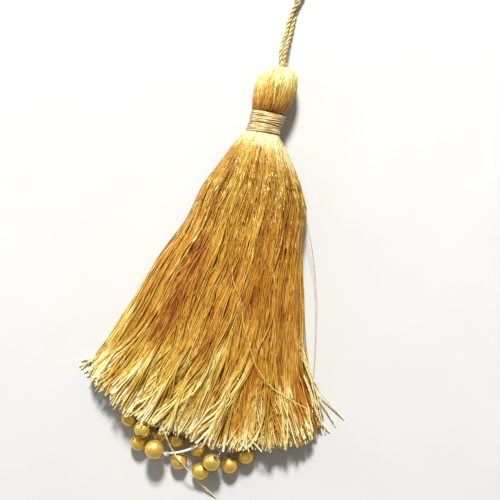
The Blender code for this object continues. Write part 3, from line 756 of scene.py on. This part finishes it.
def skirt_threads(rng, across, up, lock, crossing, lift):
    """Paths and shades of the threads at those places across and up."""
    count = len(across)
    traits = {trait: values[lock][:, None] for trait, values in locks.items()}
    across, up = across[:, None], up[:, None]
    own_turn = rng.uniform(0, 2 * np.pi, (2, count, 1))
    own_waves = rng.uniform(1.0, MOST_WAVES, (2, count, 1))
    own_sway = rng.normal(0, OWN_SWAY, (count, 1)) / own_waves[0] ** 0.65
    own_rise = rng.normal(0, OWN_RISE, (count, 1)) / own_waves[1] ** 0.7
    lean = traits["lean"] + rng.normal(0, OWN_LEAN, (count, 1))
    tip_lean = traits["tip_lean"] + rng.normal(0, OWN_TIP_LEAN, (count, 1))
    tip_lean += 0.04 * ease(0.3, 0.9, across) - 0.07 * ease(-1.0, -0.6, across) * (1 - ease(0.0, 0.4, across))
    strays = rng.uniform(0, 1, (count, 1)) < crossing
    stray_shift = strays * rng.normal(0, CROSSING_SHIFT, (count, 1))
    trim = traits["trim"] + rng.normal(0.1, 0.8, (count, 1)).clip(-0.9, 2.5) + LAYER_TRIM * (1 - up)
    trim += (rng.uniform(0, 1, (count, 1)) < SHORT_THREADS) * rng.uniform(*SHORT_TRIM, (count, 1))

    def spread(share):
        """How far a thread has leaned, and its x and z there before its waves."""
        gathered = traits["pull"] * ease(0.35, 0.95, share)
        leaning = ((share - traits["lean_start"]).clip(0) / (1 - traits["lean_start"])) ** 1.15
        at = across + (traits["middle"] - across) * gathered + stray_shift * ease(0.15, 1.0, share)
        at = at + lean * leaning + tip_lean * ((share - 0.76).clip(0) / 0.24) ** 1.3
        bunch = sum(np.sin(cycles * np.pi * at + start) / cycles for cycles, start in BUNCHES)
        at = at + BUNCHING * bunch * ease(0.6, 1.0, share)
        height = up + (traits["level"] - up) * gathered * HELD_BY_LOCK
        return (leaning, *in_skirt(share, at.clip(-1.03, 1.03), height))

    tip_y = hem_at(spread(np.ones((count, 1)))[1])

    def place(share):
        """A thread's points at shares of its whole length."""
        leaning, x, z = spread(share)
        free = ease(0.06, 0.45, share)
        loose = ease(0.02, 0.2, share)
        waves = 2 * np.pi * share
        held = 1 - 0.8 * across**6
        x = x + traits["sway"] * held * free * np.sin(waves * traits["waves"] + traits["sway_turn"])
        x = x + own_sway * held * loose * np.sin(waves * own_waves[0] + own_turn[0])
        z = z + traits["rise"] * free * np.sin(waves * traits["waves"] + traits["rise_turn"])
        z = z + own_rise * loose * np.sin(waves * own_waves[1] + own_turn[1])
        z = z + strays * CROSSING_LIFT * free + (np.abs(lean) * 4).clip(0, 0.5) * leaning
        z = z + lift * ease(0.3, 0.6, share)
        y = SKIRT_START + (tip_y - SKIRT_START) * share
        z = z + FOLD_RISE * folds_at(x, y) * up
        return np.stack([x, y, np.maximum(z, THREAD_LEVEL)], axis=-1)

    # A thread ends where it is cut, or just before it would run into a bead.
    cut = 1 - trim / (SKIRT_START - tip_y)
    fine = np.linspace(0.86, 1.0, 29)
    points = place(fine * np.ones((count, 1)))
    near = np.zeros(points.shape[:2], bool)
    for *centre, radius, _, _ in BEADS:
        near |= np.linalg.norm(points - centre, axis=2) < radius + BEAD_CLEARANCE
    last_clear = np.maximum(near.argmax(axis=1) - 1, 0)
    reach = np.where(near.any(axis=1), fine[last_clear], 2.0)[:, None]
    share = SKIRT_SHARES ** rng.uniform(0.9, 1.1, (count, 1)) * np.minimum(reach, cut)
    paths = place(share)
    return paths, skirt_shades(rng, traits, across, up, share, paths)


# How much a thread's place in the skirt darkens or lightens it beside its own tone: painted shade
# inside the skirt and below the neck's flare, painted light towards the hem, and longer pale ends
# that are partly painted sheen.
THREAD_TONE = (0.47, 0.11)  # the middle and the spread
INNER_DARK = 0.3
SHADED_TOP = 0.17
LIGHT_HEM = 0.16
INNER_HEM_DARK = 0.7
LONG_PALE = 0.2  # the share of threads that are pale for longer
LONG_PALE_LENGTHS = (4, 16)


def skirt_shades(rng, traits, across, up, share, paths):
    """Tone, paleness and lemon along each thread.  Painted shade darkens it inside the skirt and in
    the folds' hollows; painted sheen whitens it where it leaves the neck and on the folds' swells,
    and its cut end is pale, partly as painted sheen."""
    one_each = (len(across), 1)
    from_tip = paths[..., 1] - paths[:, -1:, 1]
    leftward = 1 - ease(-0.1, 0.4, across)
    inner = np.minimum(1 - up, 2 * up).clip(0) * (1 - ease(0.8, 0.97, np.abs(across)))
    # Pale ends, partly paler frayed thread and partly painted sheen; some threads are pale further up.
    pale_length = 1.5 + (8.0 + 6.0 * leftward) * traits["pale"] * rng.uniform(0.2, 1.0, one_each)
    pale_length += (rng.uniform(0, 1, one_each) < LONG_PALE) * rng.uniform(*LONG_PALE_LENGTHS, one_each)
    own_pale = (traits["pale"] + rng.uniform(-0.9, 0.75, one_each)).clip(0, 1.2)
    tip = (1 - from_tip / pale_length).clip(0, 1) * (0.2 + own_pale)
    # Painted shade: threads inside the skirt keep their ends from going pale.
    tip *= 1 - 0.9 * ease(0.08, 0.35, inner)
    # Painted highlight: each thread is whitish for a share of its own where it leaves the neck, further on
    # the right, and not inside the skirt.
    flare_sheen_reach = rng.uniform(0.03, 0.075, one_each)
    flare_sheen_reach = flare_sheen_reach + 0.13 * ease(-0.3, 0.8, across) * rng.uniform(0.2, 1, one_each)
    flare_sheen = (1 - share / flare_sheen_reach).clip(0) ** 0.6 * (1 - ease(0.08, 0.22, inner))
    tip = np.maximum(tip, flare_sheen * rng.uniform(0.1, 1.7, one_each))

    tone_middle, tone_spread = THREAD_TONE
    # Painted shade darkens threads inside the skirt.
    tone = tone_middle + traits["tone"] + rng.normal(0, tone_spread, one_each) - INNER_DARK * inner**0.5
    # Painted shade just below the neck's pale flare.
    tone = tone - SHADED_TOP * ease(0.04, 0.1, share) * (1 - ease(0.2, 0.5, share))
    # Painted light towards the hem.
    tone = tone + LIGHT_HEM * ease(0.5, 0.85, share)
    # Painted shade darkens threads inside the skirt again at the hem.
    hem_tone = traits["hem_tone"] + 0.03 * leftward - INNER_HEM_DARK * inner
    tone = tone + hem_tone * ease(0.6, 0.9, share)
    lemon = 1 - ease(0.15, 0.5, share) + 0.9 * ease(0.55, 0.85, share) * (0.3 + 0.7 * leftward)
    # Painted shade: threads inside the skirt lose their yellow.
    lemon = (lemon + rng.normal(0, 0.3, one_each)) * (1 - 0.8 * ease(0.08, 0.3, inner))

    # The folds' painted light and shade: swells are lighter, yellower and with painted sheen on the ends near
    # the hem; hollows are darker, less yellow, and keep their ends from going pale.
    fold = folds_at(paths[..., 0], paths[..., 1])
    tone = tone + fold
    tip = tip * (1 + 3.5 * fold).clip(0, 1)
    lemon = (lemon + 2.0 * fold).clip(0, 1)
    fold_sheen = 4.5 * (fold - 0.1) * ease(0.66, 0.8, share)
    tip = np.maximum(tip, fold_sheen * rng.uniform(0, 1, one_each) ** 2)
    return {"tone": tone, "tip": tip, "lemon": lemon, "thread": rng.uniform(0, 1, one_each)}


SKIRT_LAYERS = (
    # name, seed, threads, their sides, lowest and highest, crossing share
    ("skirt_under", 31, 850, 3, (0.0, 0.4), 0.0),
    ("skirt_inner", 32, 750, 3, (0.4, 0.74), 0.0),
    ("skirt_upper", 33, 750, 4, (0.7, 0.88), 0.08),
    ("skirt_top", 34, 800, 4, (0.84, 1.0), 0.14),
    ("skirt_face", 36, 650, 4, (0.92, 1.0), 0.2),
)
THICKNESSES = (0.8, 1.3)  # of the usual thread
# Threads are squeezed thinner in the neck.
slim = np.interp(SKIRT_SHARES, (0, 0.05, 0.2, 1), (0.6, 0.75, 1, 1))
skirt_lines = {}


def add_skirt_piece(name, rng, sides, across, up, lock, crossing=0.0, lift=0.0):
    """One layer of the skirt, whose paths are kept for the frayed ends."""
    paths, shades = skirt_threads(rng, across, up, lock, crossing, lift)
    radii = THREAD_RADIUS * rng.uniform(*THICKNESSES, (len(up), 1)) * slim
    piece = thread_mesh(name, paths, radii, sides, **shades)
    piece.data.materials.append(skirt_silk)
    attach(piece, "root")
    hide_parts("tassel_body")
    skirt_lines[name] = paths


for name, seed, count, sides, ups, crossing in SKIRT_LAYERS:
    skirt_rng = np.random.default_rng(seed)
    up = skirt_rng.uniform(*ups, count)
    across = -1 + 2 * (skirt_rng.permutation(count) + skirt_rng.uniform(0, 1, count)) / count
    lock = lock_of(skirt_rng, across, up)
    add_skirt_piece(name, skirt_rng, sides, across, up, lock, crossing)

slid_rng = np.random.default_rng(35)
slid_lock = lock_count + np.repeat(np.arange(len(SLID_LOCKS)), slid_count.astype(int))
slid_up = slid_rng.uniform(0.97, 1.0, len(slid_lock))
slid_across = locks["middle"][slid_lock] + slid_rng.uniform(-SLID_SPREAD, SLID_SPREAD, len(slid_lock))
add_skirt_piece("skirt_slid", slid_rng, 4, slid_across, slid_up, slid_lock, lift=SLID_LIFT)

# The cut ends have come undone into single filaments that spread apart.
FILAMENT_RADIUS = 0.07
FILAMENT_SIDES = 3
FILAMENT_SHARES = (0.0, 0.5, 1.0)
FILAMENT_THINNING = (1.0, 0.8, 0.4)
FILAMENT_ROOT = 0.25  # how far back inside its thread one starts
FRAYED_PIECES = ("skirt_upper", "skirt_top", "skirt_face", "skirt_slid")
FRAYED_SHARE = 0.6
FRAY_CLEARANCE = 0.12
fray_rng = np.random.default_rng(41)
frayed = np.concatenate([skirt_lines[name][:, -2:] for name in FRAYED_PIECES])
fray_way = unit(frayed[:, 1] - frayed[:, 0])
fray_spread = fray_rng.normal(0, 1, fray_way.shape) * (0.13, 0.05, 0.1)
fray_bend = fray_rng.normal(0, 1, fray_way.shape) * (0.1, 0.05, 0.08)
fray_length = fray_rng.uniform(0.2, 1.0, (len(frayed), 1))
fray_root = frayed[:, 1] - fray_way * FILAMENT_ROOT
filaments = np.stack([
    fray_root + (fray_way + fray_spread * share + fray_bend * share * share) * fray_length * share
    for share in FILAMENT_SHARES
], axis=1)
filaments[..., 2] = np.maximum(filaments[..., 2], FILAMENT_RADIUS)
kept = fray_rng.uniform(0, 1, len(filaments)) < FRAYED_SHARE
for *centre, radius, _, _ in BEADS:
    kept &= (np.linalg.norm(filaments - centre, axis=2) > radius + FRAY_CLEARANCE).all(axis=1)
filaments = filaments[kept]
tip_filaments = thread_mesh(
    "tip_filaments", filaments, FILAMENT_RADIUS * np.array([FILAMENT_THINNING]), FILAMENT_SIDES,
    tone=0.8, tip=1.0, thread=fray_rng.uniform(0, 1, (len(filaments), 1)),
)
tip_filaments.data.materials.append(skirt_silk)
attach(tip_filaments, "root")
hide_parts("tassel_body")

# Stray threads: one drawn right across the skirt, a long hair beside it, a spray at each end
# of the hem, and one that trails over the beads.
STRAY_RADIUS = 0.165
STRAY_STATIONS = 40
STRAY_SIDES = 5
STRAY_LIFT = 1.3
# Each place is x and y on the skirt, or x, y and z off it.
STRAYS = (
    ((-1.2, -37.0), (-0.3, -41.5), (2.4, -45.7), (4.25, -51.0), (6.4, -54.9), (8.5, -58.5), (12.5, -62.2),
     (16.1, -63.8), (21.6, -65.5)),
    ((15.6, -50.0), (19.4, -56.0, 2.6), (22.4, -60.5, 1.8), (25.0, -62.7, 1.2), (29.8, -66.3, 0.17)),
    ((16.4, -52.0), (20.0, -57.5, 2.2), (22.7, -61.7, 1.4), (25.6, -65.0, 0.8), (28.4, -68.2, 0.17)),
    ((17.2, -54.0), (20.4, -58.6, 2.6), (21.9, -61.4, 1.9), (23.9, -66.0, 1.2), (25.9, -70.5, 0.17)),
    ((17.8, -55.0), (20.8, -58.4, 2.0), (22.5, -61.3, 1.4), (24.4, -65.8, 0.8), (26.7, -70.3, 0.17)),
    ((18.0, -57.0), (21.6, -62.0, 2.2), (24.0, -66.8, 1.4), (27.4, -69.8, 0.17)),
    ((18.6, -58.0), (21.8, -63.0, 2.8), (23.2, -67.8, 2.0), (24.6, -72.0, 0.6)),
    ((8.6, -17.5), (10.9, -22.6, 6.0), (15.2, -32.4, 4.2), (17.6, -39.7, 2.8), (19.4, -47.7, 1.6),
     (20.5, -53.5, 1.1), (21.4, -59.5, 0.8)),
    ((-8.6, -71.0), (-7.2, -76.9, 6.2), (-4.6, -80.8, 4.4), (-2.4, -82.7, 4.05), (0.0, -84.7, 3.2),
     (2.4, -86.5, 1.5), (6.3, -88.9, 0.17)),
    ((-22.0, -60.0), (-23.6, -63.0, 1.9), (-26.0, -65.4, 1.0), (-28.7, -67.5, 0.17)),
    ((-22.4, -61.0), (-24.2, -63.6, 1.5), (-26.6, -65.2, 0.7), (-28.6, -66.3, 0.17)),
    ((-21.8, -60.0), (-23.6, -63.6, 2.2), (-25.4, -66.4, 1.1), (-27.4, -68.6, 0.17)),
    ((-21.6, -61.5), (-23.2, -64.5, 2.6), (-24.8, -67.2, 1.4), (-26.6, -69.3, 0.17)),
    ((-22.6, -60.4), (-24.6, -63.2, 1.2), (-26.8, -65.9, 0.6), (-28.2, -68.0, 0.17)),
    ((-21.0, -60.5), (-22.4, -64.5, 3.0), (-24.0, -68.0, 1.6), (-25.4, -70.2, 0.4)),
)
THIN_STRAYS = (0, 7)
THIN_RADIUS = 0.085


def on_skirt(x, y):
    """The height of the skirt's top at a place."""
    across = np.linspace(-1, 1, 201)
    share = ((y - SKIRT_START) / (hem_y(across) - SKIRT_START)).clip(0, 1)
    places, heights = in_skirt(share, across, 1.0)
    return float(np.interp(x, places, heights))


def stray_line(places):
    """A stray's route, from inside the skirt out over it."""
    route = []
    for step, (x, y, *level) in enumerate(places):
        lift = STRAY_LIFT if step else -STRAY_LIFT
        route.append((x, y, *(level or [on_skirt(x, y) + lift])))
    return even_points(smooth_rows(route), STRAY_STATIONS)


stray_lines = np.stack([stray_line(stray) for stray in STRAYS])
stray_radii = np.full((len(STRAYS), 1), STRAY_RADIUS)
stray_radii[list(THIN_STRAYS)] = THIN_RADIUS
stray_pale = np.linspace(0.2, 1.1, STRAY_STATIONS) * (1.6 * stray_radii / STRAY_RADIUS - 0.7)
stray_rng = np.random.default_rng(43)
stray_threads = thread_mesh(
    "stray_threads", stray_lines, stray_radii, STRAY_SIDES, tone=0.85, tip=stray_pale,
    thread=stray_rng.uniform(0, 1, (len(STRAYS), 1)),
)
stray_threads.data.materials.append(skirt_silk)
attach(stray_threads, "root")
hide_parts("tassel_body")

# -------------------------------- bead strings
# Clear white nylon, knotted together inside the skirt, comes out at the hem to carry the
# beads.  One end has no bead and stops in a knot.

NYLON_RADIUS = 0.16
LOOSE_RADIUS = 0.27
NYLON_SIDES = 8
STRING_POINTS = 60
YOKE = (0.0, -22.4, 4.75)
YOKE_PITCH = 0.5
# On a string's way inside the skirt: the share of the skirt's length, and how far out it is.
STRING_WAY = ((0.39, 0.55), (0.70, 0.86), (0.965, 1.0))
HOLE_ENTRY = 1.15  # times the bead's radius
HOLE_EXIT = 1.1
# Each string: where it leaves the hem, the free points on its way, and its beads from one up.
BEAD_STRINGS = (
    (-15.40, (), (1,)),
    (-12.60, (), (2,)),
    (-11.00, ((-10.70, -77.8, 0.95), (-10.50, -79.8, 0.62)), (3,)),
    (-9.60, ((-9.25, -77.0, 3.90), (-9.05, -78.2, 4.35)), (4,)),
    (-8.30, (), (5,)),
    (-4.60, (), (6,)),
    (-2.25, ((-2.22, -78.6, 2.00), (-2.25, -80.0, 1.90)), (8,)),
    (-0.20, (), (7,)),
    (
        1.20,
        ((0.85, -77.3, 3.80), (-0.20, -78.5, 4.25), (-1.80, -79.7, 4.00), (-3.20, -80.5, 3.45),
         (-4.50, -81.1, 2.75), (-5.60, -81.5, 1.95), (-6.30, -81.9, 1.60)),
        (),
    ),
    (5.00, ((5.30, -77.2, 4.20),), (10, 9)),
    (7.20, ((7.50, -77.6, 2.20),), (11,)),
    (10.60, (), (12,)),
)


def make_nylon(name, clearness, roughness):
    """Smooth nylon, faintly clouded."""
    material, tree, shader = new_material(name)
    coordinates = add_node(tree, "ShaderNodeTexCoord").outputs["Object"]
    cloud = noise(tree, coordinates, scale=900.0, detail=2.0)
    colour = blend_colours(tree, cloud, (0.78, 0.77, 0.72, 1), (0.95, 0.95, 0.93, 1))
    tree.links.new(colour, shader.inputs["Base Color"])
    rough = sums(tree, "MULTIPLY_ADD", cloud, 0.1, roughness)
    tree.links.new(rough, shader.inputs["Roughness"])
    shader.inputs["Transmission Weight"].default_value = clearness
    shader.inputs["IOR"].default_value = 1.53
    return material


def bead_axis(azimuth, elevation):
    """The way that a bead's hole points."""
    turn, rise = math.radians(azimuth), math.radians(elevation)
    return np.array([math.cos(rise) * math.cos(turn), math.cos(rise) * math.sin(turn), math.sin(rise)])


def string_line(number, hem_x, free, beads):
    """One string's route from the knotted yoke to its last bead."""
    across_all = np.linspace(-1, 1, 401)
    hem_places = in_skirt(1.0, across_all, 0.5)[0]
    across = np.interp(hem_x, hem_places, across_all)
    from_middle = number - (len(BEAD_STRINGS) - 1) / 2
    route = [np.array(YOKE) + (YOKE_PITCH * from_middle, 0, 0)]
    for share, out in STRING_WAY:
        x, z = in_skirt(share, across * out, 0.5)
        y = SKIRT_START + (hem_y(across * out) - SKIRT_START) * share
        route.append(np.array([x, y, z]))
    route += [np.array(point) for point in free]
    for bead in beads:
        *centre, radius, azimuth, elevation = BEADS[bead - 1]
        axis = bead_axis(azimuth, elevation)
        route += [centre + axis * radius * HOLE_ENTRY, np.array(centre)]
        if bead != beads[-1]:
            route.append(centre - axis * radius * HOLE_EXIT)
    return smooth_rows(route)


string_lines = np.stack([
    even_points(string_line(number, *string), STRING_POINTS) for number, string in enumerate(BEAD_STRINGS)
])
has_bead = np.array([bool(beads) for _, _, beads in BEAD_STRINGS])
bead_strings = thread_mesh("bead_strings_clear", string_lines[has_bead], NYLON_RADIUS, NYLON_SIDES)
bead_strings.data.materials.append(make_nylon("clear_nylon", clearness=0.95, roughness=0.0))
loose_line = string_lines[~has_bead]
loose_string = thread_mesh("loose_string", loose_line, LOOSE_RADIUS, NYLON_SIDES)
milky_nylon = make_nylon("milky_nylon", clearness=0.1, roughness=0.25)
loose_string.data.materials.append(milky_nylon)

# The loose string's end is tied in an overhand knot: two tight wraps and a short tail.
KNOT_RADIUS = 0.36
KNOT_PITCH = 0.42
KNOT_TURNS = 2.2
KNOT_POINTS = 56
KNOT_BACK = 0.6  # how far before the string's end the knot starts
KNOT_TIGHTNESS = 0.85
knot_way = unit(loose_line[0, -1] - loose_line[0, -4])
knot_side = unit(np.cross(knot_way, (0, 0, 1)))
knot_up = np.cross(knot_side, knot_way)
knot_turn = np.linspace(0, 2 * np.pi * KNOT_TURNS, KNOT_POINTS)[:, None]
knot_line = (
    loose_line[0, -1] + knot_way * (knot_turn / (2 * np.pi) * KNOT_PITCH - KNOT_BACK)
    + KNOT_RADIUS * (knot_side * np.cos(knot_turn) + knot_up * np.sin(knot_turn))
)
loose_knot = thread_mesh("loose_string_knot", knot_line[None], LOOSE_RADIUS * KNOT_TIGHTNESS, NYLON_SIDES)
loose_knot.data.materials.append(milky_nylon)
for piece in (bead_strings, loose_string, loose_knot):
    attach(piece, "root")
    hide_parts("bead_strings")

# -------------------------------- beads
# Round metal beads with a drilled hole, bought in gold plate and gone satin.  Each is threaded
# on a nylon string and hangs just past the hem.

BEAD_HOLE_ANGLE = 20  # from the pole to the hole's rim, in degrees
BEAD_SIDES = 36
BEAD_BANDS = 18
RIM_ROUNDING = 0.07  # of the bead's radius


def make_gold():
    """Gold plate gone satin, a little cloudy, with fine scratches in its gloss."""
    material, tree, shader = new_material("satin_gold")
    coordinates = add_node(tree, "ShaderNodeTexCoord").outputs["Object"]
    cloud = noise(tree, coordinates, scale=520.0, detail=4.0)
    fine = noise(tree, coordinates, scale=6500.0, detail=2.0)
    colour = blend_colours(tree, cloud, (0.62, 0.36, 0.05, 1), (0.92, 0.68, 0.17, 1))
    tree.links.new(colour, shader.inputs["Base Color"])
    rough = sums(tree, "MULTIPLY_ADD", cloud, 0.2, 0.22)
    tree.links.new(rough, shader.inputs["Roughness"])
    relief = {"Height": fine, "Distance": 0.02 * MM, "Strength": 0.6}
    bump = add_node(tree, "ShaderNodeBump", relief)
    tree.links.new(bump.outputs["Normal"], shader.inputs["Normal"])
    shader.inputs["Metallic"].default_value = 0.65
    return material


bpy.ops.object.select_all(action="DESELECT")
bpy.ops.mesh.primitive_uv_sphere_add(segments=BEAD_SIDES, ring_count=BEAD_BANDS, radius=1)
model_bead = bpy.context.active_object
rim_level = math.cos(math.radians(BEAD_HOLE_ANGLE))


def choose(kind, wanted):
    """Select those of the bead's faces or edges that pass a test."""
    bpy.ops.mesh.select_mode(type=kind)
    bpy.ops.mesh.select_all(action="DESELECT")
    shape = bmesh.from_edit_mesh(model_bead.data)
    for part in shape.faces if kind == "FACE" else shape.edges:
        part.select_set(wanted(part))
    bmesh.update_edit_mesh(model_bead.data)


bpy.ops.object.mode_set(mode="EDIT")
choose("FACE", lambda face: abs(face.calc_center_median().z) > rim_level)
bpy.ops.mesh.delete(type="FACE")
choose("EDGE", lambda edge: edge.is_boundary)
bpy.ops.mesh.bridge_edge_loops()
choose("EDGE", lambda edge: all(abs(abs(corner.co.z) - rim_level) < 0.01 for corner in edge.verts))
bpy.ops.mesh.bevel(offset=RIM_ROUNDING, segments=3, affect="EDGES")
bpy.ops.mesh.select_all(action="SELECT")
bpy.ops.mesh.normals_make_consistent(inside=False)
bpy.ops.object.mode_set(mode="OBJECT")
model_bead.data.shade_smooth()
model_bead.data.materials.append(make_gold())
for number, (*centre, radius, azimuth, elevation) in enumerate(BEADS, 1):
    bead = bpy.data.objects.new(f"gold_bead_{number:02d}", model_bead.data.copy())
    bpy.context.scene.collection.objects.link(bead)
    turn = Vector(bead_axis(azimuth, elevation)).to_track_quat("Z", "Y").to_matrix().to_4x4()
    place = Matrix.Translation(Vector(centre) * MM)
    bead.data.transform(place @ turn @ Matrix.Scale(radius * MM, 4))
    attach(bead, "root")
    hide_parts(f"bead_{number:02d}")
bpy.data.objects.remove(model_bead)

# -------------------------------- surface and light
# A plain pale surface, a window-like key light from beyond the crown, and soft light all round.

FLOOR_SIZE = 1.6
AIM = (0.0, -0.035, 0.0)
WORLD_COLOUR = (1.0, 0.95, 0.87, 1)
WORLD_STRENGTH = 0.35

bpy.ops.object.select_all(action="DESELECT")
bpy.ops.mesh.primitive_plane_add(size=FLOOR_SIZE, location=(0, 0, 0))
floor = bpy.context.active_object
floor.name = "floor"
floor_paint, floor_tree, floor_shader = new_material("pale_surface")
floor_place = add_node(floor_tree, "ShaderNodeTexCoord").outputs["Object"]
floor_grain = noise(floor_tree, floor_place, scale=60.0, detail=3.0)
floor_colour = blend_colours(floor_tree, floor_grain, (0.51, 0.505, 0.495, 1), (0.55, 0.545, 0.535, 1))
floor_tree.links.new(floor_colour, floor_shader.inputs["Base Color"])
floor_shader.inputs["Roughness"].default_value = 0.8
floor.data.materials.append(floor_paint)


def add_light(name, size, power, shines_from):
    """A soft square light, its place given in metres from where it is aimed."""
    light_data = bpy.data.lights.new(name, "AREA")
    light_data.size = size
    light_data.energy = power
    light = bpy.data.objects.new(name, light_data)
    light.location = Vector(shines_from) + Vector(AIM)
    light.rotation_euler = (-Vector(shines_from)).to_track_quat("-Z", "Y").to_euler()
    bpy.context.scene.collection.objects.link(light)


add_light("key", size=0.14, power=16.0, shines_from=(-0.16, 0.62, 0.62))
add_light("rim", size=0.25, power=0.9, shines_from=(-0.62, 0.12, 0.22))
world = bpy.data.worlds.new("soft_room")
world.use_nodes = True
world_light = world.node_tree.nodes["Background"]
world_light.inputs["Color"].default_value = WORLD_COLOUR
world_light.inputs["Strength"].default_value = WORLD_STRENGTH
bpy.context.scene.world = world
